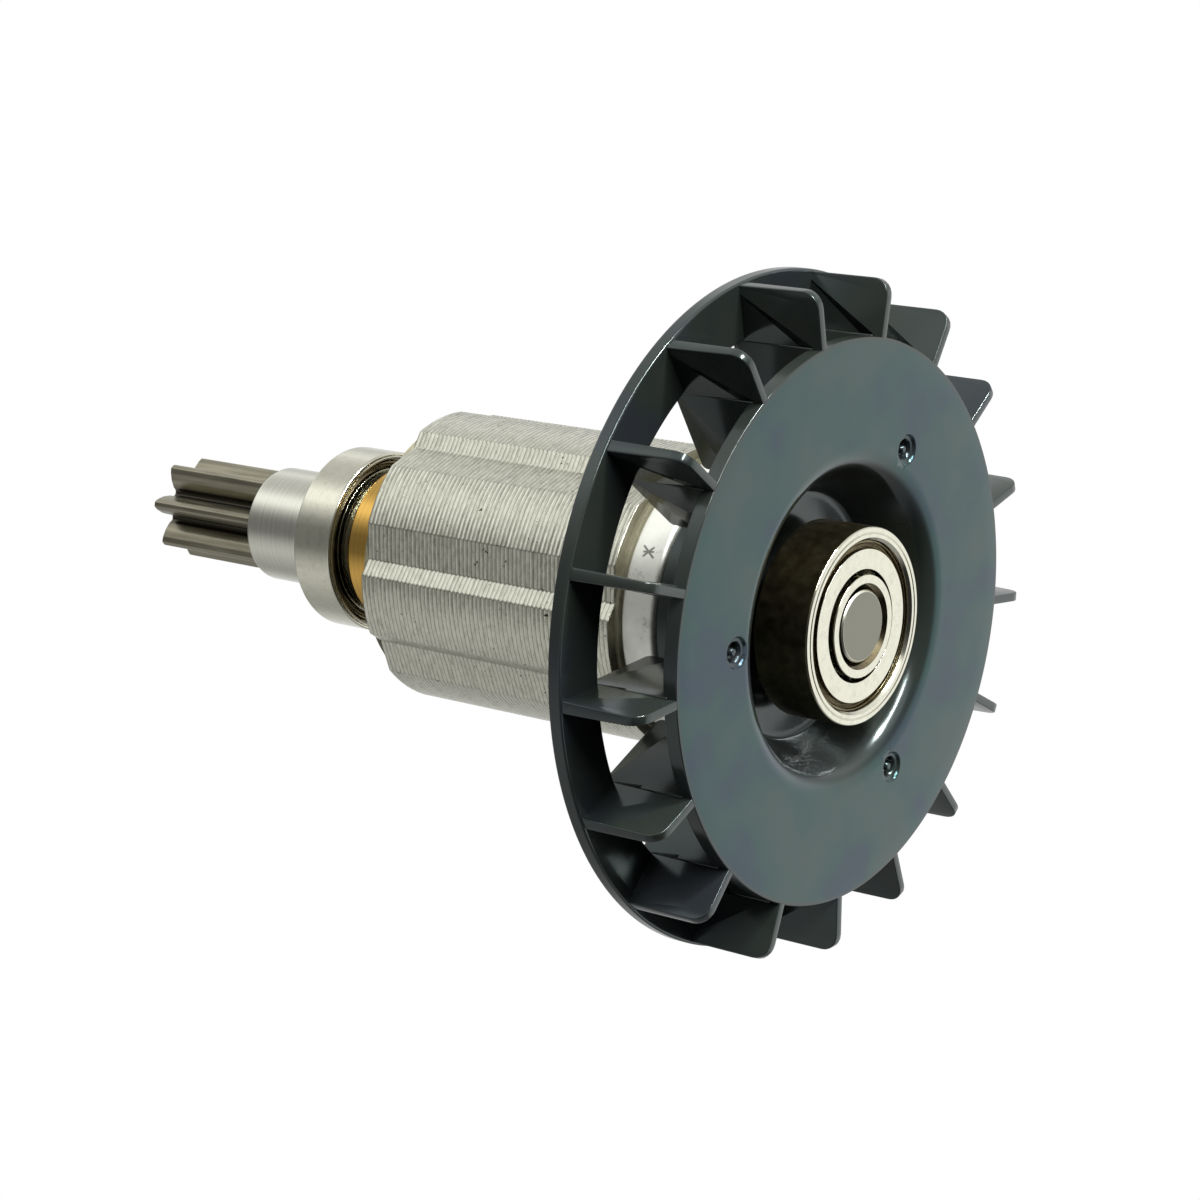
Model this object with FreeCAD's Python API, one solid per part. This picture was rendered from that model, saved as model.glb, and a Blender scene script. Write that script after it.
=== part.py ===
import FreeCAD, Part
import math
import os

# Motor armature: the rotor of a small brushless motor, with its pinion, cooling fan and two ball bearings.
# Millimetres. The rotor turns about Z. z = 0 is the outer face of the fan-end bearing and +Z runs to the
# pinion, so the armature stands on its fan end. Heights along Z are worked out from the lengths below.

# Fan-end ball bearing
fan_bearing_bore = 7.0
fan_bearing_diameter = 19.0
fan_bearing_width = 6.0
fan_bearing_balls = 7
fan_bearing_ball_gap = 0.03
fan_bearing_inner_ring_diameter = 9.9
fan_bearing_outer_ring_bore = 16.4

# Pinion-end ball bearing
pinion_bearing_bore = 10.0
pinion_bearing_diameter = 19.0
pinion_bearing_width = 5.0
pinion_bearing_balls = 11
pinion_bearing_ball_gap = 0.03
pinion_bearing_inner_ring_diameter = 12.6
pinion_bearing_outer_ring_bore = 17.1

# Both bearings
shield_sheet = 0.3
shield_recess = 0.25
shield_gap = 0.5
cage_wall = 1.2
cage_pocket_gap = 0.1
cage_back = 0.3
cage_sides_per_ball = 2
hidden_shield_sides = 24

# Shaft and pinion
shaft_end_recess = 0.3
pinion_length = 14.5
pinion_teeth = 7
pinion_tip_diameter = 11.0
pinion_root_diameter = 5.4
pinion_flank_start_diameter = 6.6
pinion_tooth_root_thickness = 2.1
pinion_tooth_middle_thickness = 1.85
pinion_tooth_tip_thickness = 1.2
pinion_tip_easing = 0.3
pinion_gullet_floor = 0.6
pinion_end_chamfer = 0.5
pinion_phase = -94.5

# Bright sleeve between the pinion and its bearing
sleeve_diameter = 12.1
sleeve_length = 10.1
sleeve_chamfer = 0.4

# Spacer and brass balance ring between the pinion-end bearing and the core
spacer_diameter = 15.2
spacer_length = 1.3
brass_ring_diameter = 16.4
brass_ring_length = 7.6

# Lamination stack and magnets
core_diameter = 30.0
core_length = 31.1
core_pole_count = 4
core_notch_depth = 0.95
core_wide_lobe_width = 6.5
core_narrow_lobe_width = 6.4
core_narrow_lobe_root_width = 9.0
core_phase = -71.9
magnet_width = 13.0
magnet_thickness = 2.5
magnet_cover = 3.4
magnet_slot_gap = 0.1
end_plate_diameter = 28.0
end_plate_thickness = 0.5

# Pale metal balance ring between the core and the fan
fan_side_ring_diameter = 27.2
fan_side_ring_length = 3.4
fan_side_ring_bevel = 0.7

# Fan, one black moulding
bearing_stands_proud = 1.8
disc_diameter = 54.3
disc_thickness = 1.5
well_mouth_diameter = 30.4
well_floor_diameter = 24.0
well_depth = 6.4
well_mouth_rounding = 2.5
well_mouth_facet_count = 1
well_wall = 1.6
hub_wall = 0.6
hub_behind_floor = 6.8
blade_count = 17
blade_thickness = 1.1
blade_tip_diameter = 65.3
blade_corner_rounding = 1.7
blade_corner_facet_count = 2
blade_phase = -89.95
blade_inner_diameter = 36.0
blade_step = 3.0
blade_lap = 1.0
ring_outer_diameter = 65.7
ring_inner_diameter = 54.7
ring_thickness = 1.45
ring_back_from_disc_face = 10.0

# Heights along Z, each piece seated on the one before it
disc_face = bearing_stands_proud
well_floor = disc_face + well_depth
ring_back = disc_face + ring_back_from_disc_face
ring_front = ring_back - ring_thickness
fan_end = well_floor + hub_behind_floor
core_start = fan_end + fan_side_ring_length + end_plate_thickness
core_end = core_start + core_length
brass_start = core_end + end_plate_thickness
brass_end = brass_start + brass_ring_length
pinion_bearing_start = brass_end + spacer_length
pinion_bearing_end = pinion_bearing_start + pinion_bearing_width
sleeve_end = pinion_bearing_end + sleeve_length
pinion_end = sleeve_end + pinion_length

upright = FreeCAD.Vector(0, 0, 1)
origin = FreeCAD.Vector(0, 0, 0)


def flat(r, z):
    """A point of a half section: r from the axis, z along it."""
    return FreeCAD.Vector(r, 0, z)


def eased(before, corner, after, rounding, cuts):
    """Points of one rounded corner as a few straight cuts, which keeps a wide or repeated form light."""
    to_last = (before - corner).normalize()
    to_next = (after - corner).normalize()
    half = to_last.getAngle(to_next) / 2
    centre = corner + (to_last + to_next).normalize() * (rounding / math.sin(half))
    start = corner + to_last * (rounding / math.tan(half)) - centre
    turn_axis = to_last.cross(to_next)
    sweep = 180.0 - 2 * math.degrees(half)
    turns = [FreeCAD.Rotation(turn_axis, -sweep * cut / cuts) for cut in range(cuts + 1)]
    return [centre + turn.multVec(start) for turn in turns]


def section(points):
    """Flat face inside a closed outline of points."""
    return Part.Face(Part.makePolygon(points + points[:1]))


def turned(points):
    """Solid of revolution about Z from the points of a half section."""
    return section(points).revolve(origin, upright, 360)


def tube(outer, inner, start, end):
    """Plain ring between two heights, given by its diameters."""
    return turned([flat(inner / 2, start), flat(outer / 2, start), flat(outer / 2, end), flat(inner / 2, end)])


def chamfered_tube(outer, inner, start, end, chamfer):
    """Ring whose outer edge is chamfered on the side towards the pinion."""
    return turned([flat(inner / 2, start), flat(outer / 2, start), flat(outer / 2, end - chamfer),
                   flat(outer / 2 - chamfer, end), flat(inner / 2, end)])


def flat_sided_tube(outer, inner, start, end, sides):
    """Ring with flat sides, for pieces that are shut in."""
    solids = []
    for radius in (outer / 2, inner / 2):
        corners = [polar(radius, 360.0 * side / sides, start) for side in range(sides)]
        solids.append(section(corners).extrude(upright * (end - start)))
    return solids[0].cut(solids[1])


def around(shape, count, phase=0.0):
    """Copies of a shape, evenly spaced about Z."""
    copies = []
    for i in range(count):
        copy = shape.copy()
        copy.rotate(origin, upright, phase + i * 360.0 / count)
        copies.append(copy)
    return copies


def polar(radius, degrees, z=0.0):
    angle = math.radians(degrees)
    return FreeCAD.Vector(radius * math.cos(angle), radius * math.sin(angle), z)


def beside(radius, offset, z=0.0):
    """Point at a radius from the axis, beside the X axis by an offset."""
    return FreeCAD.Vector(math.sqrt(radius ** 2 - offset ** 2), offset, z)


def pinion_section(z):
    """Outline of the pinion: teeth with convex flanks and eased tips, and a flat gullet between them."""
    root = pinion_root_diameter / 2
    foot = pinion_flank_start_diameter / 2
    tip = pinion_tip_diameter / 2
    shoulder = tip - pinion_tip_easing
    waist = (foot + shoulder) / 2
    top = pinion_tooth_tip_thickness / 2 - pinion_tip_easing
    next_tooth = FreeCAD.Rotation(upright, 360.0 / pinion_teeth)
    after_last = FreeCAD.Rotation(upright, 180.0 / pinion_teeth)
    edges = []
    for tooth in range(pinion_teeth):
        turn = FreeCAD.Rotation(upright, pinion_phase + tooth * 360.0 / pinion_teeth)
        near = [beside(foot, -pinion_tooth_root_thickness / 2, z), beside(waist, -pinion_tooth_middle_thickness / 2, z),
                beside(shoulder, -pinion_tooth_tip_thickness / 2, z), beside(tip, -top, z)]
        far = [FreeCAD.Vector(point.x, -point.y, z) for point in reversed(near)]
        floor = [after_last.multVec(beside(root, -pinion_gullet_floor / 2, z)),
                 after_last.multVec(beside(root, pinion_gullet_floor / 2, z)), next_tooth.multVec(near[0])]
        for flank in (near[:3], far[1:]):
            edges.append(Part.Arc(*[turn.multVec(point) for point in flank]).toShape())
        for line in (near[2:], [near[3], far[0]], far[:2], [far[3], floor[0]], floor[:2], floor[1:]):
            edges.append(Part.LineSegment(*[turn.multVec(point) for point in line]).toShape())
    return Part.Face(Part.Wire(Part.sortEdges(edges)[0]))


def pinion_shaft():
    """Shaft with a seat for the fan bearing at its thin end, and the pinion cut in its own steel."""
    seat = fan_bearing_bore / 2
    main = pinion_bearing_bore / 2
    tip = pinion_tip_diameter / 2
    start = shaft_end_recess
    body = turned([flat(0, start), flat(seat, start),
                   flat(seat, fan_bearing_width), flat(main, fan_bearing_width), flat(main, sleeve_end),
                   flat(0, sleeve_end)])
    teeth = pinion_section(sleeve_end).extrude(upright * pinion_length)
    blank = turned([flat(0, sleeve_end), flat(tip + 1, sleeve_end), flat(tip + 1, pinion_end - pinion_end_chamfer),
                    flat(tip, pinion_end - pinion_end_chamfer), flat(tip - pinion_end_chamfer, pinion_end),
                    flat(0, pinion_end)])
    return body.fuse(teeth.common(blank)).removeSplitter()


def seal_sleeve():
    return chamfered_tube(sleeve_diameter, pinion_bearing_bore, pinion_bearing_end, sleeve_end, sleeve_chamfer)


def bearing_spacer():
    """Washer that meets only the bearing's inner ring: the shield beside it lies deeper and runs clear."""
    return tube(spacer_diameter, pinion_bearing_bore, brass_end, pinion_bearing_start)


def brass_balance_ring():
    return tube(brass_ring_diameter, pinion_bearing_bore, brass_start, brass_end)


def lamination_section(z):
    """Outline of one lamination: a wide and a narrow lobe to each pole, parted by notches. A notch falls gently
    from the wide lobe and rises steeply to the narrow one."""
    rim = core_diameter / 2
    floor = rim - core_notch_depth
    wide = core_wide_lobe_width / 2
    narrow = core_narrow_lobe_width / 2
    root = core_narrow_lobe_root_width / 2
    to_narrow = FreeCAD.Rotation(upright, 180.0 / core_pole_count)
    to_next = FreeCAD.Rotation(upright, 360.0 / core_pole_count)
    wide_lobe = [beside(rim, -wide, z), polar(rim, 0, z), beside(rim, wide, z)]
    narrow_lobe = [to_narrow.multVec(point) for point in (beside(rim, -narrow, z), polar(rim, 0, z),
                                                          beside(rim, narrow, z))]
    notches = [to_narrow.multVec(beside(floor, side, z)) for side in (-root, root)]
    slopes = [(wide_lobe[2], notches[0]), (notches[0], narrow_lobe[0]), (narrow_lobe[2], notches[1]),
              (notches[1], to_next.multVec(wide_lobe[0]))]
    edges = []
    for pole in range(core_pole_count):
        turn = FreeCAD.Rotation(upright, core_phase + pole * 360.0 / core_pole_count)
        for lobe in (wide_lobe, narrow_lobe):
            edges.append(Part.Arc(*[turn.multVec(point) for point in lobe]).toShape())
        for slope in slopes:
            edges.append(Part.LineSegment(*[turn.multVec(point) for point in slope]).toShape())
    return Part.Face(Part.Wire(Part.sortEdges(edges)[0]))


def magnet_block(gap, start, end):
    """One flat magnet on the X axis, under the crest of a wide lobe, grown by a gap on each side."""
    outer = core_diameter / 2 - magnet_cover
    inner = outer - magnet_thickness
    corner = FreeCAD.Vector(inner - gap, -magnet_width / 2 - gap, start)
    return Part.makeBox(magnet_thickness + 2 * gap, magnet_width + 2 * gap, end - start, corner)


def rotor_core():
    """Stack of laminations on the shaft, with a slot for a magnet under each wide lobe."""
    stack = lamination_section(core_start).extrude(upright * core_length)
    bore = Part.makeCylinder(pinion_bearing_bore / 2, core_length, flat(0, core_start))
    slots = around(magnet_block(magnet_slot_gap, core_start, core_end), core_pole_count, core_phase)
    return stack.cut([bore] + slots)


def magnets():
    return Part.makeCompound(around(magnet_block(0.0, core_start, core_end), core_pole_count, core_phase))


def end_plate(start):
    return tube(end_plate_diameter, pinion_bearing_bore, start, start + end_plate_thickness)


def fan_side_balance_ring():
    """Cast ring with a broad bevel on its rim towards the fan."""
    rim = fan_side_ring_diameter / 2
    bore = pinion_bearing_bore / 2
    end = fan_end + fan_side_ring_length
    return turned([flat(bore, fan_end), flat(rim - fan_side_ring_bevel, fan_end),
                   flat(rim, fan_end + fan_side_ring_bevel), flat(rim, end), flat(bore, end)])


def well_radius(z):
    """Radius of the well's sloping inner wall at a height."""
    mouth = well_mouth_diameter / 2
    floor = well_floor_diameter / 2
    return mouth + (floor - mouth) * (z - disc_face) / well_depth


def wall_reach():
    """Thickness of the well's wall measured square to the axis."""
    slope = math.atan2((well_mouth_diameter - well_floor_diameter) / 2, well_depth)
    return well_wall / math.cos(slope)


def fan_body():
    """Disc, well round the bearing and hub on the shaft, as one turned form."""
    back = disc_face + disc_thickness
    hub = well_floor_diameter / 2 + hub_wall
    bore = pinion_bearing_bore / 2
    slope = (well_mouth_diameter - well_floor_diameter) / 2 / well_depth
    hub_height = well_floor + (wall_reach() - hub_wall) / slope
    floor_edge = flat(well_floor_diameter / 2, well_floor)
    mouth_edge = flat(well_mouth_diameter / 2, disc_face)
    rim_edge = flat(disc_diameter / 2, disc_face)
    mouth = eased(floor_edge, mouth_edge, rim_edge, well_mouth_rounding, well_mouth_facet_count)
    return turned([flat(bore, well_floor), floor_edge] + mouth + [rim_edge, flat(disc_diameter / 2, back),
                  flat(well_radius(back) + wall_reach(), back), flat(hub, hub_height), flat(hub, fan_end),
                  flat(bore, fan_end)])


def blade():
    """One flat radial blade on the X axis, from the well's wall to the tip, with a step at its inner end."""
    tip = blade_tip_diameter / 2
    inner = blade_inner_diameter / 2
    under_rim = disc_diameter / 2 - blade_lap
    in_disc = disc_face + disc_thickness / 2
    step = ring_back - blade_step
    back = disc_face + disc_thickness
    wall_back = well_radius(back) + wall_reach()
    in_wall_low = well_radius(back) + wall_reach() / 2
    in_wall_high = well_radius(step) + wall_reach() / 2
    corner = eased(flat(under_rim, disc_face), flat(tip, disc_face), flat(tip, ring_back),
                   blade_corner_rounding, blade_corner_facet_count)
    outline = [flat(under_rim, disc_face)] + corner + [flat(tip, ring_back), flat(inner, ring_back),
               flat(inner, step), flat(in_wall_high, step), flat(in_wall_low, back), flat(wall_back, in_disc),
               flat(under_rim, in_disc)]
    plate = section(outline)
    plate.translate(FreeCAD.Vector(0, -blade_thickness / 2, 0))
    return plate.extrude(FreeCAD.Vector(0, blade_thickness, 0))


def fan():
    """Disc, hub, ring and blades in one moulding."""
    ring = tube(ring_outer_diameter, ring_inner_diameter, ring_front, ring_back)
    return fan_body().fuse([ring] + around(blade(), blade_count, blade_phase)).removeSplitter()


def faceted_ball(radius, centre):
    """Ball with few flat faces, as it is shut in behind the shields."""
    rows = 4
    columns = 6
    rings = []
    for row in range(1, rows):
        tilt = math.pi * row / rows
        level = centre + upright * (radius * math.cos(tilt))
        rings.append([level + polar(radius * math.sin(tilt), column * 360.0 / columns) for column in range(columns)])
    faces = []
    for column in range(columns):
        beyond = (column + 1) % columns
        faces.append(section([centre + upright * radius, rings[0][column], rings[0][beyond]]))
        faces.append(section([centre - upright * radius, rings[-1][beyond], rings[-1][column]]))
        for upper, lower in zip(rings, rings[1:]):
            faces.append(section([upper[column], lower[column], lower[beyond], upper[beyond]]))
    return Part.Solid(Part.Shell(faces))


def cage(middle, balls, ball, pitch):
    """Crown cage of flat-sided segments: a ring on one side of the balls, with fingers between them."""
    pocket = ball / 2 + cage_pocket_gap
    low = middle - pocket / 2
    high = middle + pocket + cage_back
    ring = flat_sided_tube(pitch + cage_wall, pitch - cage_wall, low, high, balls * cage_sides_per_ball)
    corner = FreeCAD.Vector(pitch / 2 - cage_wall, -pocket, middle - pocket)
    gap = Part.makeBox(cage_wall * 2, pocket * 2, pocket * 2, corner)
    return ring.cut(around(gap, balls))


def shield(race_bore, race_diameter, start):
    """Washer pressed into the outer ring, which runs clear of the inner ring. Flat-sided, as a neighbour hides it."""
    hole = race_diameter + 2 * shield_gap
    return flat_sided_tube(race_bore, hole, start, start + shield_sheet, hidden_shield_sides)


def open_shield(race_bore, race_diameter, start):
    """The same washer in its round form, for the one shield that is open to view."""
    return tube(race_bore, race_diameter + 2 * shield_gap, start, start + shield_sheet)


def bearing(start, width, bore, diameter, race_bore, race_diameter, balls, ball_gap, fan_side_shield):
    """All pieces of one shielded ball bearing, by name."""
    middle = start + width / 2
    pitch = (race_bore + race_diameter) / 2
    ball = (race_bore - race_diameter) / 2 - 2 * ball_gap
    far_shield = start + width - shield_recess - shield_sheet
    return {
        "inner_ring": tube(race_diameter, bore, start, start + width),
        "outer_ring": tube(diameter, race_bore, start, start + width),
        "fan_side_shield": fan_side_shield(race_bore, race_diameter, start + shield_recess),
        "pinion_side_shield": shield(race_bore, race_diameter, far_shield),
        "cage": cage(middle, balls, ball, pitch),
        "balls": Part.makeCompound(around(faceted_ball(ball / 2, flat(pitch / 2, middle)), balls)),
    }


fan_bearing = bearing(0.0, fan_bearing_width, fan_bearing_bore, fan_bearing_diameter, fan_bearing_outer_ring_bore,
                      fan_bearing_inner_ring_diameter, fan_bearing_balls, fan_bearing_ball_gap, open_shield)
pinion_bearing = bearing(pinion_bearing_start, pinion_bearing_width, pinion_bearing_bore, pinion_bearing_diameter,
                         pinion_bearing_outer_ring_bore, pinion_bearing_inner_ring_diameter,
                         pinion_bearing_balls, pinion_bearing_ball_gap, shield)

pieces = {
    "pinion_shaft": pinion_shaft(),
    "seal_sleeve": seal_sleeve(),
    "bearing_spacer": bearing_spacer(),
    "brass_balance_ring": brass_balance_ring(),
    "rotor_core": rotor_core(),
    "magnets": magnets(),
    "pinion_side_end_plate": end_plate(core_end),
    "fan_side_end_plate": end_plate(core_start - end_plate_thickness),
    "fan_side_balance_ring": fan_side_balance_ring(),
    "fan": fan(),
}
for name, shape in fan_bearing.items():
    pieces["fan_bearing_" + name] = shape
for name, shape in pinion_bearing.items():
    pieces["pinion_bearing_" + name] = shape

os.makedirs("parts", exist_ok=True)
for name, shape in pieces.items():
    shape.exportStep("parts/" + name + ".step")
    print(name, "valid" if shape.isValid() else "NOT VALID", len(shape.Solids), round(shape.Volume, 1))
print("length", round(pinion_end, 2))
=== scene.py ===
import bpy
import numpy as np
from mathutils import Matrix, Vector


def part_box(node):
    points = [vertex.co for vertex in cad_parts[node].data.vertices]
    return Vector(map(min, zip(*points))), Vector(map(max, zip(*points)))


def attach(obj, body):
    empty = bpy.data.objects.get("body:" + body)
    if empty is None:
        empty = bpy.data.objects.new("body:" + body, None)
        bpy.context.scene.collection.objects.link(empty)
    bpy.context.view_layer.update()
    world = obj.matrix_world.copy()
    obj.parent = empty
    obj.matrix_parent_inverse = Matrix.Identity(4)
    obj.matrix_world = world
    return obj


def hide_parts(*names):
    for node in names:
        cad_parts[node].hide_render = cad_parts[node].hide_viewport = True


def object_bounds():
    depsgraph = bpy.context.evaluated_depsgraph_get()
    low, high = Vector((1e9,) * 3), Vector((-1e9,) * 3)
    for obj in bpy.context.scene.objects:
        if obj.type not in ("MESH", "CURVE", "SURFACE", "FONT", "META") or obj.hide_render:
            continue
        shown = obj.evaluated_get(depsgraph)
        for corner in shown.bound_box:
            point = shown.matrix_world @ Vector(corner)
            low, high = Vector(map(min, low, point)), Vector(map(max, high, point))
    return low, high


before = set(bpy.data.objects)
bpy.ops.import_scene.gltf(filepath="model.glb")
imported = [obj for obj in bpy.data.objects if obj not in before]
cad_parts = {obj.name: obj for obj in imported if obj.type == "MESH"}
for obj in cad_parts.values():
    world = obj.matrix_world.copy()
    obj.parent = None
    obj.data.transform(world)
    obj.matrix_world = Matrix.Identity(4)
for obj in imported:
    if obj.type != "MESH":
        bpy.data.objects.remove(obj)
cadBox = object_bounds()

# Motor armature with a black fan, seen from below its fan end. The turning axis is Z, lengths are in mm until
# they reach a mesh, and z = 0 is the outer face of the fan-end bearing. Degrees are counted from +X round +Z.
mm = 0.001
turn = 2 * np.pi
# Rounding of an edge that looks sharp, in mm, and the range that a noise mostly keeps to.
sharp = 0.05
noiseLow, noiseHigh = 0.3, 0.7


def heights(node):
    # Lowest and highest z of a CAD node, in mm.
    low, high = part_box(node)
    return low[2] / mm, high[2] / mm


def radiusOf(node):
    # Half the width of a round CAD node, in mm.
    low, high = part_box(node)
    return (high[0] - low[0]) / mm / 2


# Colours and nodes

def linear(hexColour):
    # sRGB hex to linear: c / 12.92 below 0.04045, otherwise ((c + 0.055) / 1.055) to the power 2.4.
    value = np.array([int(hexColour[i:i + 2], 16) for i in (1, 3, 5)]) / 255
    value = np.where(value <= 0.04045, value / 12.92, ((value + 0.055) / 1.055) ** 2.4)
    return (*value.tolist(), 1.0)


def fillRamp(elements, stops):
    # Colour ramp through (place, hex colour) stops. A number, or three, in place of a colour is linear.
    while len(elements) < len(stops):
        elements.new(0.5)
    for element, (place, value) in zip(elements, stops):
        element.position = place
        if isinstance(value, str):
            element.color = linear(value)
        else:
            element.color = (*np.broadcast_to(value, 3).tolist(), 1.0)


def addNode(tree, kind, settings=None, links=None):
    # One node with its settings and its incoming links. A setting is a socket's name or place, a property or
    # a colour ramp's stops. A link comes from a socket, or from the first socket of a node.
    node = tree.nodes.new("ShaderNode" + kind)
    for key, value in (settings or {}).items():
        if key == "stops":
            fillRamp(node.color_ramp.elements, value)
        elif isinstance(key, int) or key in node.inputs:
            node.inputs[key].default_value = value
        else:
            setattr(node, key, value)
    for key, source in (links or {}).items():
        socket = source.outputs[0] if isinstance(source, bpy.types.Node) else source
        tree.links.new(socket, node.inputs[key])
    return node


def emptyTree(owner):
    # The cleared node tree of a material or of the world.
    owner.use_nodes = True
    owner.node_tree.nodes.clear()
    return owner.node_tree


def newMaterial(name):
    # Material without its shader, its node tree, and Object coordinates in mm.
    material = bpy.data.materials.new(name)
    tree = emptyTree(material)
    place = addNode(tree, "TexCoord").outputs["Object"]
    return material, tree, addNode(tree, "VectorMath", {"operation": "SCALE", "Scale": 1 / mm}, {0: place})


def finished(material, shading, links):
    # The material with one Principled shader, whose fixed values are set on its own sockets.
    tree = material.node_tree
    addNode(tree, "OutputMaterial", None, {"Surface": addNode(tree, "BsdfPrincipled", shading, links)})
    return material


def radiusAndHeight(tree, place):
    # Distance from the turning axis, and height.
    flat = addNode(tree, "VectorMath", {"operation": "MULTIPLY", 1: (1, 1, 0)}, {0: place})
    radius = addNode(tree, "VectorMath", {"operation": "LENGTH"}, {0: flat}).outputs["Value"]
    return radius, addNode(tree, "SeparateXYZ", None, {0: place}).outputs["Z"]


def turnedLines(tree, place, pitch):
    # Fine rings left by a lathe or grinder: one-dimensional noise over radius plus height, one line in each
    # `pitch` mm.
    radius, height = radiusAndHeight(tree, place)
    along = addNode(tree, "Math", {"operation": "ADD"}, {0: radius, 1: height})
    return addNode(tree, "TexNoise", {"noise_dimensions": "1D", "Scale": 1 / pitch, "Detail": 3.0},
                   {"W": along})


# Materials. A noise's Scale is 1 over the size in mm of its largest blotches.

metal = {"Metallic": 1.0}
falling = {"To Min": 1.0, "To Max": 0.0}
noiseRange = {"From Min": noiseLow, "From Max": noiseHigh}


def plainMaterial(name, shading, colours, roughness, pitch=None, size=None, detail=3.0, depth=None):
    # Material whose colour, roughness and bump of `depth` mm all follow one noise: turned lines `pitch` mm
    # apart, or blotches of `size` mm.
    material, tree, place = newMaterial(name)
    if pitch:
        pattern = turnedLines(tree, place, pitch)
    else:
        blotches = {"Scale": 1 / size, "Detail": detail, "Roughness": 0.55}
        pattern = addNode(tree, "TexNoise", blotches, {0: place})
    colour = addNode(tree, "ValToRGB", {"stops": list(zip((noiseLow, noiseHigh), colours))}, {0: pattern})
    first, last = roughness
    rough = addNode(tree, "MapRange", noiseRange | {"To Min": first, "To Max": last}, {0: pattern})
    links = {"Base Color": colour, "Roughness": rough}
    if depth:
        links["Normal"] = addNode(tree, "Bump", {"Distance": depth * mm}, {"Height": pattern})
    return finished(material, shading, links)


def mouldedNylon(s):
    # Glass-filled black nylon, injection moulded: almost no colour of its own, and a smooth resin skin. On
    # the disc's face its reflections turn blue-green, with faint clouded patches where the fill flowed.
    material, tree, place = newMaterial("mouldedNylon")
    radius, height = radiusAndHeight(tree, place)
    clouds = addNode(tree, "TexNoise", {"Scale": 1 / 9.0, "Detail": 2.0, "Roughness": 0.55}, {0: place})
    colour = addNode(tree, "ValToRGB", {"stops": list(zip(s["cloudStops"], s["colours"]))}, {0: clouds})
    faceTint = addNode(tree, "ValToRGB", {"stops": list(zip(s["cloudStops"], s["faceTints"]))}, {0: clouds})
    low, high = [s["discFace"] + rise for rise in s["tintFade"]]
    above = addNode(tree, "MapRange", {"From Min": low, "From Max": high}, {0: height})
    inner, outer = [s["discRadius"] - gap for gap in s["tintRim"]]
    beyond = addNode(tree, "MapRange", {"From Min": inner, "From Max": outer}, {0: radius})
    elsewhere = addNode(tree, "Math", {"operation": "MAXIMUM"}, {0: above, 1: beyond})
    tint = addNode(tree, "Mix", {"data_type": "RGBA", 7: (*s["plainTint"], 1.0)}, {0: elsewhere, 6: faceTint})
    skin = addNode(tree, "TexNoise", {"Scale": 1 / 3.0, "Detail": 3.0, "Roughness": 0.55}, {0: place})
    rough = addNode(tree, "MapRange", noiseRange | {"To Min": 0.13, "To Max": 0.21}, {0: skin})
    grain = addNode(tree, "TexNoise", {"Scale": 1 / 0.5, "Detail": 2.0, "Roughness": 0.55}, {0: place})
    uneven = addNode(tree, "Bump", {"Distance": 0.0004 * mm}, {"Height": grain})
    return finished(material, {"IOR": 1.53, "Specular IOR Level": 0.5},
                    {"Base Color": colour, "Specular Tint": tint.outputs[2], "Roughness": rough,
                     "Normal": uneven})


def groundBearingSteel():
    # Through-hardened bearing steel, ground and polished: warm near-white mirror with faint rings and a thin,
    # uneven film of grease.
    material, tree, place = newMaterial("groundBearingSteel")
    film = addNode(tree, "TexNoise", {"Scale": 1 / 0.7, "Detail": 4.0, "Roughness": 0.65}, {0: place})
    greasy = [(0.32, "#c1c0b0"), (0.46, "#cac9b9"), (0.7, "#cfcebe")]
    colour = addNode(tree, "ValToRGB", {"stops": greasy}, {0: film})
    lines = turnedLines(tree, place, 0.22)
    rough = addNode(tree, "MapRange", noiseRange | {"To Min": 0.1, "To Max": 0.15}, {0: lines})
    ground = addNode(tree, "Bump", {"Distance": 0.0003 * mm}, {"Height": lines})
    return finished(material, metal, {"Base Color": colour, "Roughness": rough, "Normal": ground})


def facedShaftEnd(s):
    # The shaft's end in the fan's bearing, faced off and dull grey, with a bright chamfer, and near black on
    # its seat in the bearing's bore: painted shade of the gap there.
    material, tree, place = newMaterial("facedShaftEnd")
    radius, seat = radiusAndHeight(tree, place)[0], s["seatRadius"]
    edges = [seat - s["endChamfer"] - gap for gap in s["faceBlend"]] + [seat - gap for gap in s["seatBlend"]]
    stops = [(edge / seat, value) for edge, value in zip(edges, s["endColours"])]
    outwards = addNode(tree, "MapRange", {"From Max": seat}, {0: radius})
    colour = addNode(tree, "ValToRGB", {"stops": stops}, {0: outwards})
    lines = turnedLines(tree, place, 0.3)
    rough = addNode(tree, "MapRange", noiseRange | {"To Min": 0.26, "To Max": 0.32}, {0: lines})
    return finished(material, metal, {"Base Color": colour, "Roughness": rough})


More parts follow.
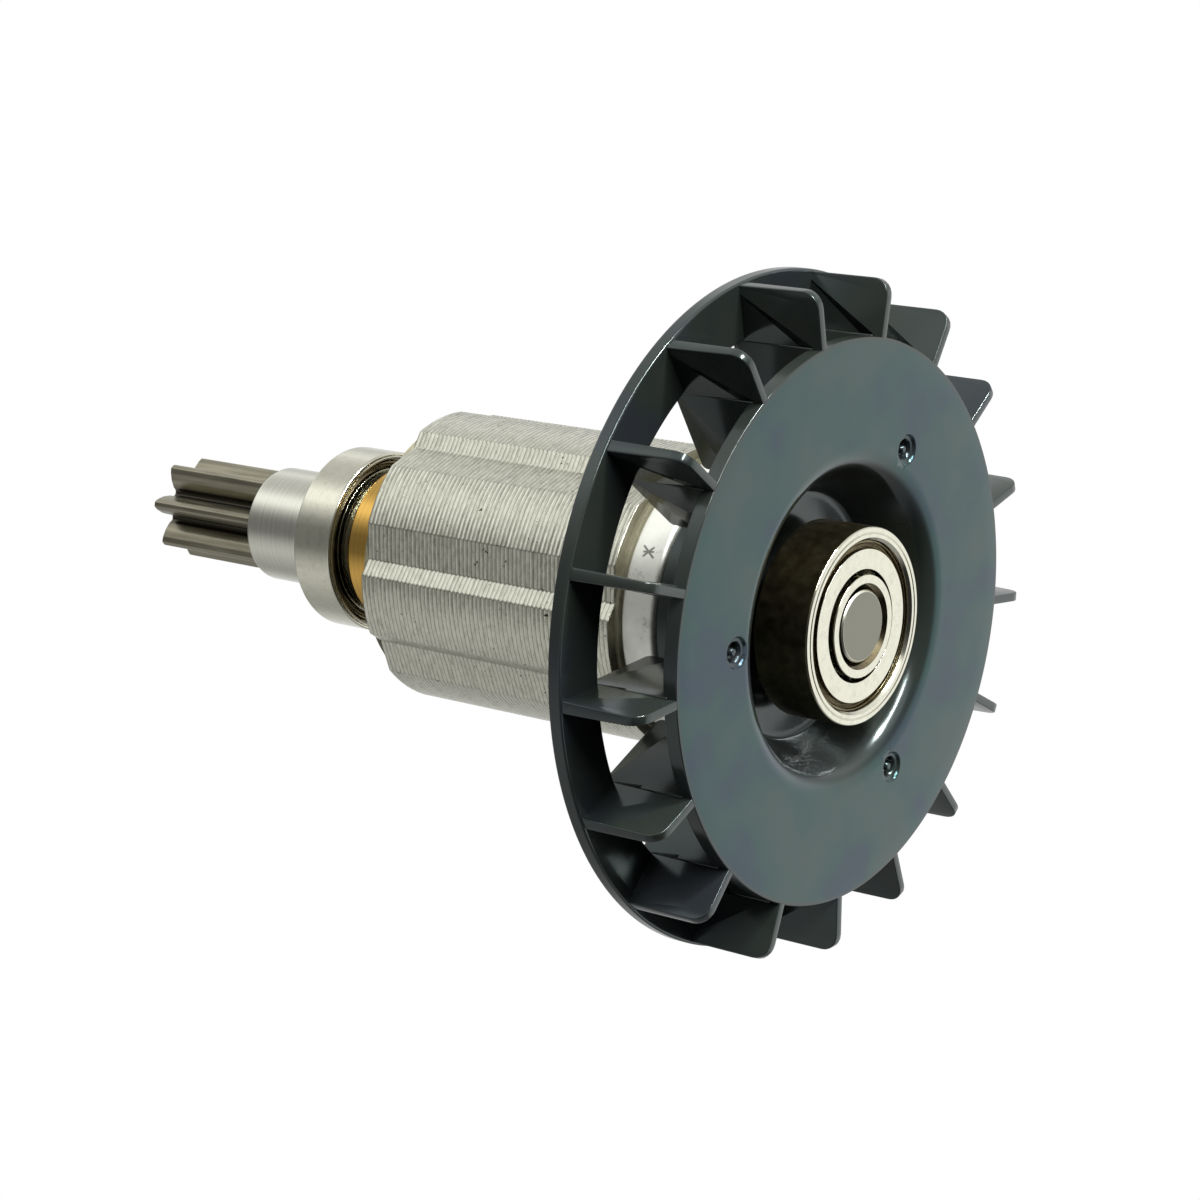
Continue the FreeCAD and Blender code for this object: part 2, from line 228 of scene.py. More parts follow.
def shaftSteel(s):
    # Case-hardened shaft steel, hobbed and oiled: olive grey on the teeth, with streaks along the shaft, and
    # painted near-black shade down in the gullets.
    material, tree, place = newMaterial("shaftSteel")
    radius, height = radiusAndHeight(tree, place)
    stretched = addNode(tree, "Mapping", {"Scale": (1.0, 1.0, 0.08)}, {"Vector": place})
    streaks = addNode(tree, "TexNoise", {"Scale": 1 / 0.5, "Detail": 4.0, "Roughness": 0.55}, {0: stretched})
    olive = [(noiseLow, "#7c7867"), (noiseHigh, "#9a9684")]
    unshaded = addNode(tree, "ValToRGB", {"stops": olive}, {0: streaks})
    (inner, outer), start = s["gulletShadeRadii"], heights("seal_sleeve")[1]
    gullets = {"From Min": inner, "From Max": outer, "To Min": s["gulletShadeShare"], "To Max": 0.0}
    gulletShade = addNode(tree, "MapRange", gullets, {0: radius})
    onTeeth = addNode(tree, "MapRange", {"From Min": start, "From Max": start + s["gulletShadeFade"]}, {0: height})
    last = heights("pinion_shaft")[1] - s["unshadedEnd"]
    lastFade = {"From Min": last, "From Max": last + s["endFade"]}
    beforeEnd = addNode(tree, "MapRange", lastFade | falling, {0: height})
    for share in (onTeeth, beforeEnd):
        gulletShade = addNode(tree, "Math", {"operation": "MULTIPLY"}, {0: share, 1: gulletShade})
    # Painted shade: near black down in the gullets, fading in past the collar and out before the end.
    colour = addNode(tree, "Mix", {"data_type": "RGBA", 7: linear("#2a2720")}, {0: gulletShade, 6: unshaded})
    rough = addNode(tree, "MapRange", noiseRange | {"To Min": 0.26, "To Max": 0.36}, {0: streaks})
    hobbed = addNode(tree, "Bump", {"Distance": 0.002 * mm}, {"Height": streaks})
    return finished(material, metal, {"Base Color": colour.outputs[2], "Roughness": rough, "Normal": hobbed})


def castZinc(s):
    # Die-cast zinc ring: pale satin skin, a little mottled, with small dark pits and a mark of a few strokes
    # that was struck into it. A stroke is where |(place - middle) . across| is small, near the mark's middle.
    material, tree, place = newMaterial("castZinc")
    mottle = addNode(tree, "TexNoise", {"Scale": 1 / 2.2, "Detail": 5.0, "Roughness": 0.65}, {0: place})
    pitted = [(0.28, "#b4b5ad"), (0.42, "#eaebe2"), (0.7, "#f2f3ea")]
    skin = addNode(tree, "ValToRGB", {"stops": pitted}, {0: mottle})
    around, width = np.radians(s["markAngle"]), s["strokeWidth"]
    middle = Vector((s["markRadius"] * np.cos(around), s["markRadius"] * np.sin(around), s["markHeight"]))
    near = addNode(tree, "VectorMath", {"operation": "DISTANCE", 1: middle}, {0: place}).outputs["Value"]
    mark = None
    for tilt, reach in s["strokes"]:
        lean = np.radians(tilt)
        across = Vector((-np.sin(around) * np.sin(lean), np.cos(around) * np.sin(lean), -np.cos(lean)))
        along = addNode(tree, "VectorMath", {"operation": "DOT_PRODUCT", 1: across}, {0: place})
        beside = addNode(tree, "Math", {"operation": "SUBTRACT", 1: across.dot(middle)},
                         {0: along.outputs["Value"]})
        beside = addNode(tree, "Math", {"operation": "ABSOLUTE"}, {0: beside})
        narrow = addNode(tree, "MapRange", {"From Min": width / 2, "From Max": width} | falling, {0: beside})
        ends = {"From Min": reach, "From Max": reach + s["strokeFade"]}
        short = addNode(tree, "MapRange", ends | falling, {0: near})
        stroke = addNode(tree, "Math", {"operation": "MULTIPLY"}, {0: narrow, 1: short})
        if mark is None:
            mark = stroke
        else:
            mark = addNode(tree, "Math", {"operation": "MAXIMUM"}, {0: mark, 1: stroke})
    colour = addNode(tree, "Mix", {"data_type": "RGBA", 7: linear("#85867e")}, {0: mark, 6: skin})
    rough = addNode(tree, "MapRange", noiseRange | {"To Min": 0.55, "To Max": 0.45}, {0: mottle})
    uneven = addNode(tree, "Bump", {"Distance": 0.006 * mm}, {"Height": mottle})
    return finished(material, metal, {"Base Color": colour.outputs[2], "Roughness": rough, "Normal": uneven})


def laminatedSteel(s):
    # Stack of punched silicon-steel sheets: grey, with dark specks of varnish. A sheet's edge is half sheared
    # and half torn, and the two halves lean apart, so the stack shows fine lines wherever the light changes.
    # The normal becomes normal + lean * tangent, with the tangent (-y, x) / radius. The lean's sign is that
    # of sin(turn * sheets), with the height counted in sheets, and its size differs at random from sheet to
    # sheet. The joint between two sheets, where |sin(turn / 2 * sheets)| is small, is darker.
    material, tree, place = newMaterial("laminatedSteel")
    parts = addNode(tree, "SeparateXYZ", None, {0: place}).outputs
    edges = sheetEdges(s)
    thick = edges[1] - edges[0]
    counted = {"operation": "MULTIPLY_ADD", 1: 1 / thick, 2: -edges[0] / thick}
    sheet = addNode(tree, "Math", counted, {0: parts["Z"]})
    sheetNumber = addNode(tree, "Math", {"operation": "FLOOR"}, {0: sheet})
    random = addNode(tree, "TexWhiteNoise", {"noise_dimensions": "1D"}, {"W": sheetNumber})
    size = addNode(tree, "MapRange", {"To Min": s["leastLean"], "To Max": s["mostLean"]}, {0: random})

    def wave(turns, then):
        angle = addNode(tree, "Math", {"operation": "MULTIPLY", 1: turn * turns}, {0: sheet})
        sine = addNode(tree, "Math", {"operation": "SINE"}, {0: angle})
        return addNode(tree, "Math", {"operation": then}, {0: sine})

    jointFrom, jointTo = s["jointWidth"]
    shade = addNode(tree, "MapRange", {"From Min": jointFrom, "From Max": jointTo, "To Min": s["jointShade"]},
                    {0: wave(0.5, "ABSOLUTE")})
    lean = addNode(tree, "Math", {"operation": "MULTIPLY"}, {0: size, 1: wave(1.0, "SIGN")})
    backwards = addNode(tree, "Math", {"operation": "MULTIPLY", 1: -1.0}, {0: parts["Y"]})
    sideways = addNode(tree, "CombineXYZ", None, {0: backwards, 1: parts["X"]})
    tangent = addNode(tree, "VectorMath", {"operation": "NORMALIZE"}, {0: sideways})
    leaning = addNode(tree, "VectorMath", {"operation": "SCALE"}, {0: tangent, "Scale": lean})
    toWorld = {"vector_type": "VECTOR", "convert_from": "OBJECT", "convert_to": "WORLD"}
    leaning = addNode(tree, "VectorTransform", toWorld, {0: leaning})
    rimPlace = addNode(tree, "Mapping", {"Scale": (1.0, 1.0, 3.0)}, {"Vector": place})
    broken = addNode(tree, "TexNoise", {"Scale": 1 / 1.1, "Detail": 5.0, "Roughness": 0.7}, {0: rimPlace})
    torn = addNode(tree, "Bump", {"Distance": 0.012 * mm}, {"Height": broken})
    leant = addNode(tree, "VectorMath", {"operation": "ADD"}, {0: torn, 1: leaning})
    normal = addNode(tree, "VectorMath", {"operation": "NORMALIZE"}, {0: leant})
    greys = [(0.25, "#9d9d8f"), (0.5, "#c6c6b7"), (0.75, "#dedecf")]
    unshaded = addNode(tree, "ValToRGB", {"stops": greys}, {0: broken})
    # Specks lie where a fine noise is below a limit, which a coarse noise raises in patches.
    patches = addNode(tree, "TexNoise", {"Scale": 1 / 4.0, "Detail": 2.0, "Roughness": 0.55}, {0: place})
    limits = {"From Min": 0.4, "From Max": 0.62, "To Min": 0.24, "To Max": 0.33}
    limit = addNode(tree, "MapRange", limits, {0: patches})
    fine = addNode(tree, "TexNoise", {"Scale": 1 / 0.45, "Detail": 2.0, "Roughness": 0.55}, {0: place})
    below = addNode(tree, "Math", {"operation": "SUBTRACT"}, {0: limit, 1: fine})
    speck = addNode(tree, "MapRange", {"From Max": 0.04}, {0: below})
    specked = addNode(tree, "Mix", {"data_type": "RGBA", 7: linear("#45443c")}, {0: speck, 6: unshaded})
    colour = addNode(tree, "VectorMath", {"operation": "SCALE"}, {0: specked.outputs[2], "Scale": shade})
    rough = addNode(tree, "MapRange", noiseRange | {"To Min": 0.22, "To Max": 0.34}, {0: broken})
    return finished(material, metal, {"Base Color": colour, "Roughness": rough, "Normal": normal})


# Surfaces

def roundedSection(corners, arcSteps=5, support=0.1):
    # Closed outline through (x, y, radius) corners. At each corner a tangent arc of that radius is worked out
    # from the half angle between its two sides: reach = radius / tan(half), centre = radius / sin(half) along
    # the bisector, and points swing from one tangent point to the other. One more point lies just before and
    # after each arc, so that the flats beside it shade flat.
    leastRadius, mostOfSide = 0.02, 0.3
    data = np.array(corners, float)
    place = data[:, :2]
    radius = np.maximum(data[:, 2], leastRadius)[:, None]
    toLast = np.roll(place, 1, 0) - place
    toNext = np.roll(place, -1, 0) - place
    lengths = np.linalg.norm(toLast, axis=1), np.linalg.norm(toNext, axis=1)
    toLast, toNext = toLast / lengths[0][:, None], toNext / lengths[1][:, None]
    half = (np.arccos(np.clip((toLast * toNext).sum(1), -1, 1)) / 2)[:, None]
    reach = radius / np.tan(half)
    bisector = toLast + toNext
    bisector /= np.linalg.norm(bisector, axis=1)[:, None]
    centre = place + bisector * radius / np.sin(half)
    sweep = np.pi - 2 * half
    share = np.linspace(0, 1, arcSteps + 1)[None, :, None]
    start = (place + toLast * reach - centre)[:, None]
    end = (place + toNext * reach - centre)[:, None]
    wide = sweep[:, None]
    arc = centre[:, None] + (np.sin((1 - share) * wide) * start + np.sin(share * wide) * end) / np.sin(wide)
    gapLast = np.minimum(support, mostOfSide * lengths[0])[:, None]
    gapNext = np.minimum(support, mostOfSide * lengths[1])[:, None]
    before = (place + toLast * (reach + gapLast))[:, None]
    after = (place + toNext * (reach + gapNext))[:, None]
    return np.concatenate([before, arc, after], 1).reshape(-1, 2)


def counterClockwise(outline):
    # The same outline, walked counter-clockwise: its signed area is half the sum of the cross products.
    x, y = outline.T
    area = np.sum(x * np.roll(y, -1) - np.roll(x, -1) * y)
    return outline if area > 0 else outline[::-1]


def gridFaces(rows, columns, wrapRows):
    # Quads of a grid of rows by columns whose columns wrap, and whose rows wrap where asked.
    i = np.arange(rows if wrapRows else rows - 1)[:, None]
    j = np.arange(columns)[None, :]
    nextI, nextJ = (i + 1) % rows, (j + 1) % columns
    corners = [i * columns + j, i * columns + nextJ, nextI * columns + nextJ, nextI * columns + j]
    return np.stack([np.broadcast_to(c, (len(i), columns)) for c in corners], -1).reshape(-1, 4)


def turnedShell(section, angles):
    # Closed ring: a section point at radius r and height z goes to (r cos a, r sin a, z) for each angle a.
    section = counterClockwise(section)
    r, z = section[:, :1], section[:, 1:]
    a = angles[None, :]
    points = np.stack([r * np.cos(a), r * np.sin(a), z + 0 * a], -1)
    return points.reshape(-1, 3), [gridFaces(len(section), len(angles), True)]


def turnedSolid(section, angles):
    # Solid of revolution: the first and last section points lie on the axis and become single poles.
    points = turnedShell(section[1:-1], angles)[0]
    rows, columns = len(section) - 2, len(angles)
    j = np.arange(columns)
    nextJ = (j + 1) % columns
    bottom, top = len(points), len(points) + 1
    poles = [(0, 0, section[0, 1]), (0, 0, section[-1, 1])]
    last = (rows - 1) * columns
    caps = [np.stack([np.full(columns, bottom), nextJ, j], -1),
            np.stack([last + j, last + nextJ, np.full(columns, top)], -1)]
    return np.vstack([points, poles]), [gridFaces(rows, columns, False)] + caps


def raisedStack(outline, rows, boreRadius=0.0):
    # Prism with shaped flanks: each row (inset, z) is the outline moved inwards along its own normals by
    # inset and lifted to z. The ends are closed by flat rings down to the bore, or without one by flat faces.
    outline = counterClockwise(outline)
    forward = np.roll(outline, -1, 0) - np.roll(outline, 1, 0)
    forward /= np.linalg.norm(forward, axis=1)[:, None]
    inward = np.stack([-forward[:, 1], forward[:, 0]], -1)
    inset, z = np.array(rows, float).T
    flat = outline[None] + inward[None] * inset[:, None, None]
    count = len(outline)
    if boreRadius > 0:
        bore = outline / np.linalg.norm(outline, axis=1)[:, None] * boreRadius
        flat = np.concatenate([bore[None], flat, bore[None]], 0)
        z = np.concatenate([z[:1], z, z[-1:]])
    points = np.dstack([flat, np.broadcast_to(z[:, None], flat.shape[:2])]).reshape(-1, 3)
    faces = [gridFaces(len(z), count, boreRadius > 0)]
    if boreRadius == 0:
        first = np.arange(count)
        faces += [first[::-1][None], (first + (len(z) - 1) * count)[None]]
    return points, faces


def evenAngles(count):
    return np.arange(count) * turn / count


def makePiece(name, surfaces, material, body, replaced, other=None):
    # One mesh from several surfaces in mm, smooth shaded, riding on its body and standing for its CAD nodes.
    # `other` is a second material and a choice of its faces by their middle's radius and height in mm.
    points, faces, offset = [], [], 0
    for surfacePoints, groups in surfaces:
        for group in groups:
            faces += (group + offset).tolist()
        points.append(surfacePoints)
        offset += len(surfacePoints)
    mesh = bpy.data.meshes.new(name)
    mesh.from_pydata((np.vstack(points) * mm).tolist(), [], faces)
    mesh.update()
    mesh.shade_smooth()
    mesh.materials.append(material)
    if other:
        otherMaterial, choice = other
        mesh.materials.append(otherMaterial)
        middles = np.empty(len(mesh.polygons) * 3)
        mesh.polygons.foreach_get("center", middles)
        middles = middles.reshape(-1, 3) / mm
        chosen = choice(np.linalg.norm(middles[:, :2], axis=1), middles[:, 2])
        mesh.polygons.foreach_set("material_index", chosen.astype(np.int32))
    piece = bpy.data.objects.new(name, mesh)
    bpy.context.scene.collection.objects.link(piece)
    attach(piece, body)
    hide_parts(*replaced)


def repaint(node, material):
    # A CAD node that keeps its own mesh gets a procedural material.
    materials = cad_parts[node].data.materials
    materials.clear()
    materials.append(material)


print("surfaces and materials ready")

bearingSteel = groundBearingSteel()
# Dark brown steel, partly old oil and partly painted dark. With a wet shine it is the painted shade in the
# groove and lip of the shields and in the chamfers of the bores; with a dull one, as of dried oil, it is the
# painted dark reflection of the black well on the side of the fan's bearing.
oilAndShadeColours = "#5c543f", "#7a7158"
oilAndShadeSteel = plainMaterial("oilAndShadeSteel", metal, oilAndShadeColours, (0.14, 0.22), size=1.2)
dullOilAndReflectionSteel = plainMaterial("dullOilAndReflectionSteel", metal, oilAndShadeColours, (0.28, 0.34), size=1.2)
# Bright turned steel of the collar and washer: cooler and a little rougher than the bearing.
turnedSteel = plainMaterial("turnedSteel", metal, ("#c5c5b9", "#cdcdc1"), (0.14, 0.22), pitch=0.3,
                            depth=0.0004)
# Free-cutting brass, turned bright: clear yellow, fine rings.
turnedBrass = plainMaterial("turnedBrass", metal, ("#c49b4c", "#cda658"), (0.07, 0.12), pitch=0.25,
                            depth=0.0004)
# Resin-bonded insulating board of the end plates: matt olive with a fine fibre.
oliveBoard = plainMaterial("oliveBoard", {"IOR": 1.5}, ("#6c6953", "#7f7c66"), (0.55, 0.7), size=0.6,
                           detail=4.0, depth=0.01)
# Sintered magnet under dull nickel: dark grey, faintly grainy.
platedMagnet = plainMaterial("platedMagnet", metal, ("#6c6d70", "#8d8e91"), (0.35, 0.5), size=0.4)
# Unfilled ball-cage nylon: cream, slightly waxy.
cageNylon = plainMaterial("cageNylon", {"IOR": 1.53, "Subsurface Weight": 0.1}, ("#d9cfae", "#e9e1c6"),
                          (0.35, 0.5), size=1.5, detail=2.0)

# Shaft and pinion. The corners of half a tooth are (radius, half width, rounding), from its root to its tip.
# The end's colours are those of its dull face, bright chamfer and near-black seat, which is painted shade,
# and they blend before each edge.
shaft = {"endChamfer": 0.18, "endRecess": 0.08, "seatRadius": 3.5, "boreSeat": 5.0, "rounding": 0.08,
         "teeth": 7, "firstTooth": -94.5, "endRounding": 0.15, "endFlat": 0.1, "sunk": 0.5,
         "flankRows": (0.4, 3.0, 0.2), "gulletShadeFade": 0.1, "unshadedEnd": 0.3, "endFade": 0.25,
         "tooth": [(2.7, 0.9, 0.4), (3.3, 1.05, 0.3), (4.2, 0.93, 1.5), (5.0, 0.62, 0.8), (5.5, 0.3, 0.3)],
         "gulletShadeRadii": (2.9, 4.1), "gulletShadeShare": 0.92,
         "faceBlend": (0.04, 0.01), "seatBlend": (0.02, 0.01),
         "endColours": ("#77776c", "#dbdacb", "#dbdacb", "#17140f")}


def toothOutline(s):
    # One tooth is a mirrored run of corners at (radius, half width); it is turned round the axis for each
    # tooth, and all corners are rounded by tangent arcs.
    half = np.array(s["tooth"])
    tooth = np.concatenate([half * (1, -1, 1), half[::-1]])
    a = np.radians(s["firstTooth"] + np.arange(s["teeth"]) * 360 / s["teeth"])[:, None]
    x, y, radius = tooth[None, :, 0], tooth[None, :, 1], tooth[None, :, 2]
    corners = np.stack([x * np.cos(a) - y * np.sin(a), x * np.sin(a) + y * np.cos(a), radius + 0 * a], -1)
    return roundedSection(corners.reshape(-1, 3), 3, 0.02)


def pinionShaft(s):
    # The shaft is turned up to the collar's end. The teeth are their outline raised from inside it, and their
    # end is eased by a quarter circle: inset = r (1 - cos t), z = end - r + r sin t.
    shoulder = heights("fan_bearing_inner_ring")[1]
    sleeveEnd = heights("seal_sleeve")[1]
    end = heights("pinion_shaft")[1]
    seat, face, ease, arcSteps = s["seatRadius"], s["endRecess"], s["rounding"], 3
    body = roundedSection([(0, face, 0), (seat - s["endChamfer"], face, ease),
                           (seat, face + s["endChamfer"], ease), (seat, shoulder, ease),
                           (s["boreSeat"], shoulder, ease), (s["boreSeat"], sleeveEnd, ease),
                           (0, sleeveEnd, 0)], arcSteps)
    # The points of the two corners on the axis give way to the poles.
    perCorner = arcSteps + 3
    body = np.vstack([[0, face], body[perCorner:-perCorner], [0, sleeveEnd]])
    r = s["endRounding"]
    curl = np.linspace(0, np.pi / 2, 6)
    first, middle, last = s["flankRows"]
    rows = [(0, sleeveEnd - s["sunk"]), (0, sleeveEnd + first), (0, end - middle), (0, end - r - last)]
    rows += list(zip(r * (1 - np.cos(curl)), end - r + r * np.sin(curl))) + [(r + s["endFlat"], end)]
    return [turnedSolid(body, evenAngles(128)), raisedStack(toothOutline(s), rows)]


def inFanBearing(radius, height):
    return height < heights("fan_bearing_inner_ring")[1]


makePiece("shaftWithPinion", pinionShaft(shaft), shaftSteel(shaft), "rotor", ["pinion_shaft"],
          (facedShaftEnd(shaft), inFanBearing))

# Bright collar, washer and brass ring, all turned rings on the shaft
collar = {"rounding": 0.35, "bore": 5.0}
washer = {"rounding": 0.15, "bore": 5.0}
brassRing = {"rounding": 0.3, "bore": 5.0}


def plainRing(node, s):
    # Rectangle between bore and rim with its two outer corners eased, turned round the axis.
    low, high = heights(node)
    rim = radiusOf(node)
    section = roundedSection([(s["bore"], low, sharp), (rim, low, s["rounding"]), (rim, high, s["rounding"]),
                              (s["bore"], high, sharp)])
    return [turnedShell(section, evenAngles(192))]


makePiece("turnedCollar", plainRing("seal_sleeve", collar), turnedSteel, "rotor", ["seal_sleeve"])
makePiece("spacerWasher", plainRing("bearing_spacer", washer), turnedSteel, "rotor", ["bearing_spacer"])
makePiece("brassRing", plainRing("brass_balance_ring", brassRing), turnedBrass, "rotor",
          ["brass_balance_ring"])
print("shaft, collar, washer and brass ring made")

# Stack of laminations with four wide and four narrow lobes, and the olive plates at its ends
stack = {"poles": 4, "firstPole": -71.9, "depth": 0.95, "wideHalf": 12.5, "notchAt": 26.4, "narrowHalf": 12.3,
         "sheet": 0.52, "sheetRelief": 0.03, "bandFrom": 0.3, "bandTo": 0.75, "endFlat": 0.1, "bore": 5.0,
         "leastLean": 0.0345, "mostLean": 0.115, "jointWidth": (0.1, 0.5), "jointShade": 0.5}
plate = {"rounding": 0.03, "bore": 5.0}


def stackOutline(s, rim):
    # One lamination as a radius over the angle t from the nearest wide lobe's middle: the rim on both lobes,
    # and between them two straight chords that meet in a notch. A chord through (r1, t1) and (r2, t2) has the
    # radius r1 r2 sin(t2 - t1) / (r1 sin(t - t1) + r2 sin(t2 - t)).
    pitch = turn / s["poles"]
    floor = rim - s["depth"]
    wide, notch = np.radians(s["wideHalf"]), np.radians(s["notchAt"])
    narrow = pitch / 2 - np.radians(s["narrowHalf"])
    bends = np.array([wide, notch, narrow])
    corners = (np.arange(s["poles"])[:, None] * pitch + np.concatenate([bends, -bends])[None]).ravel() % turn
    a = np.unique(np.concatenate([evenAngles(360), corners]).round(9))
    t = np.abs((a + pitch / 2) % pitch - pitch / 2)

    def chord(r1, t1, r2, t2):
        return r1 * r2 * np.sin(t2 - t1) / (r1 * np.sin(t - t1) + r2 * np.sin(t2 - t))

    gentle, steep = chord(rim, wide, floor, notch), chord(floor, notch, rim, narrow)
    r = np.select([t <= wide, t <= notch, t <= narrow], [rim, gentle, steep], rim)
    a = a + np.radians(s["firstPole"])
    return np.stack([r * np.cos(a), r * np.sin(a)], -1)


def sheetEdges(s):
    # Heights of the joints between the sheets.
    low, high = heights("rotor_core")
    return np.linspace(low, high, int(round((high - low) / s["sheet"])) + 1)


def laminatedStack(s):
    # Rows up the stack: each sheet is a flat band with a fine V on both sides of it.
    edges = sheetEdges(s)
    thick = edges[1] - edges[0]
    relief, endInset = s["sheetRelief"], s["sheetRelief"] + s["endFlat"]
    starts = edges[:-1]
    bands = [(relief, 0), (0, s["bandFrom"]), (0, s["bandTo"])]
    rows = [np.stack([inset + 0 * starts, starts + share * thick], -1) for inset, share in bands]
    rows = np.vstack([[[endInset, edges[0]]], np.stack(rows, 1).reshape(-1, 2),
                      [[relief, edges[-1]], [endInset, edges[-1]]]])
    return [raisedStack(stackOutline(s, radiusOf("rotor_core")), rows, s["bore"])]


def onStackEnds(radius, height):
    low, high = heights("rotor_core")
    near = 0.01
    return (height < low + near) | (height > high - near)


makePiece("laminatedCore", laminatedStack(stack), laminatedSteel(stack), "rotor", ["rotor_core"],
          (oliveBoard, onStackEnds))
for side in ("fan", "pinion"):
    node = side + "_side_end_plate"
    makePiece(side + "SidePlate", plainRing(node, plate), oliveBoard, "rotor", [node])

# Pale cast ring, narrower towards the fan, with a struck mark. A stroke is (tilt in degrees, half length).
castRing = {"draft": 0.65, "fanSideRounding": 0.6, "backRounding": 0.2, "bore": 5.0, "markAngle": -75.3,
            "markRadius": 13.3, "markHeight": 16.8, "strokes": [(52, 0.75), (-38, 0.6), (100, 0.45)],
            "strokeWidth": 0.14, "strokeFade": 0.2}


def paleRing(s):
    # Section between bore and rim whose rim leans in by the draft towards the fan, turned round the axis.
    low, high = heights("fan_side_balance_ring")
    rim = radiusOf("fan_side_balance_ring")
    section = roundedSection([(s["bore"], low, sharp), (rim - s["draft"], low, s["fanSideRounding"]),
                              (rim, high, s["backRounding"]), (s["bore"], high, sharp)], 8)
    return [turnedShell(section, evenAngles(192))]


makePiece("castBalanceRing", paleRing(castRing), castZinc(castRing), "rotor", ["fan_side_balance_ring"])
print("stack, end plates and cast ring made")

# Fan, one moulding: disc with its well, 17 blades and a ring behind them. Its tints fade out by height above
# the disc's face and by distance from the disc's rim.
fan = {"blades": 17, "firstBlade": -89.95, "bladeThickness": 1.1, "tipRadius": 32.65, "cornerRounding": 1.7,
       "outerDraft": 0.035, "innerDraft": -0.03, "partingRadius": 27.25, "bladeInner": 18.0, "bladeStep": 3.0,
       "bladeLap": 1.0, "bladeSunk": 0.5, "bladeEase": 0.12,
       "discFace": 1.8, "discThickness": 1.5, "discRadius": 27.15, "faceRings": (22.0, 25.0),
       "ringInner": 27.35, "ringThickness": 1.4, "ringBack": 11.8, "ringRoundings": (0.15, 0.2),
       "wellMouth": 15.2, "wellFloor": 12.0, "floorHeight": 8.2, "mouthRounding": 2.5, "floorRounding": 1.0,
       "wall": 1.79, "hub": 12.6, "hubEnd": 15.0, "backRounding": 0.4, "hubRounding": 1.0, "bore": 5.0,
       "boreRounding": 0.1, "edgeRounding": 0.12,
       "marks": 3, "firstMark": 16.04, "markCircle": 18.08, "markRadius": 1.45, "markDepth": 0.3,
       "markEase": 0.08, "markMargin": 0.5, "markGrid": 0.09, "pitRadius": 0.95, "pitDepth": 1.1,
       "nubRadius": 0.42,
       "cloudStops": (0.36, 0.5, 0.64), "colours": ("#1d2023", "#1d221f", "#212421"),
       "faceTints": ((0.36, 0.72, 1.0), (0.38, 1.0, 0.98), (0.52, 1.0, 1.0)), "plainTint": (0.75, 0.88, 0.87),
       "tintFade": (0.05, 0.6), "tintRim": (0.5, 0.2)}


def wellRadius(s, z):
    # Radius of the well's wall at height z.
    slope = (s["wellMouth"] - s["wellFloor"]) / (s["floorHeight"] - s["discFace"])
    return s["wellMouth"] - slope * (z - s["discFace"])


def fanBody(s):
    # Turned section of disc, well and hub. Round each gate mark the disc's face sinks by smooth steps of the
    # distance from the mark's middle: a shallow dish, a deep pit in it, and up again to a nub.
    face, back = s["discFace"], s["discFace"] + s["discThickness"]
    slope = (s["wellMouth"] - s["wellFloor"]) / (s["floorHeight"] - face)
    hubHeight = face + (s["wellMouth"] + s["wall"] - s["hub"]) / slope
    ease = s["edgeRounding"]
    section = roundedSection([(s["bore"], s["floorHeight"], s["boreRounding"]),
                              (s["wellFloor"], s["floorHeight"], s["floorRounding"]),
                              (s["wellMouth"], face, s["mouthRounding"]), (s["discRadius"], face, ease),
                              (s["discRadius"], back, ease),
                              (wellRadius(s, back) + s["wall"], back, s["backRounding"]),
                              (s["hub"], hubHeight, s["hubRounding"]), (s["hub"], s["hubEnd"], ease),
                              (s["bore"], s["hubEnd"], s["boreRounding"])], 8)
    section = counterClockwise(section)
    # More rings across the part of the face that carries the marks.
    reach, step, circle = s["markRadius"] + s["markMargin"], s["markGrid"], s["markCircle"]
    onFace = (np.abs(section[:, 1] - face) < 1e-4)
    first = int(np.argmin(np.where(onFace, section[:, 0], np.inf)))
    last = int(np.argmax(np.where(onFace, section[:, 0], 0)))
    radii = np.concatenate([np.arange(circle - reach, circle + reach, step), s["faceRings"]])
    radii = radii[radii > section[first, 0] + sharp]
    extra = np.stack([radii, np.full(len(radii), face)], -1)
    low, high = sorted((first, last))
    extra = extra if section[low, 0] < section[high, 0] else extra[::-1]
    section = np.vstack([section[:low + 1], extra, section[high:]])
    # More spokes there too.
    markAngles = np.radians(s["firstMark"] + np.arange(s["marks"]) * 360 / s["marks"])
    spokes = (markAngles[:, None] + np.arange(-reach, reach, step)[None] / circle).ravel() % turn
    coarse, leastGap = evenAngles(240), 0.01
    away = np.abs((coarse[:, None] - markAngles[None] + np.pi) % turn - np.pi).min(1)
    coarse = coarse[away > reach / circle + leastGap]
    points, faces = turnedShell(section, np.sort(np.concatenate([spokes, coarse])))
    middles = circle * np.stack([np.cos(markAngles), np.sin(markAngles)], -1)
    distance = np.linalg.norm(points[:, None, :2] - middles[None], axis=2).min(1)

    def within(radius):
        share = np.clip((radius + s["markEase"] - distance) / (2 * s["markEase"]), 0, 1)
        return share * share * (3 - 2 * share)

    sinking = s["markDepth"] * within(s["markRadius"])
    sinking += s["pitDepth"] * (within(s["pitRadius"]) - within(s["nubRadius"]))
    points[:, 2] += (np.abs(points[:, 2] - face) < 1e-4) * sinking
    return points, faces


def fanRing(s):
    # Flat ring behind the blades: a rectangle with eased corners, turned round the axis.
    outer, inner = radiusOf("fan"), s["ringInner"]
    low, high = s["ringBack"] - s["ringThickness"], s["ringBack"]
    innerEase, outerEase = s["ringRoundings"]
    section = roundedSection([(inner, low, innerEase), (outer, low, outerEase), (outer, high, outerEase),
                              (inner, high, innerEase)], 4)
    return turnedShell(section, evenAngles(288))


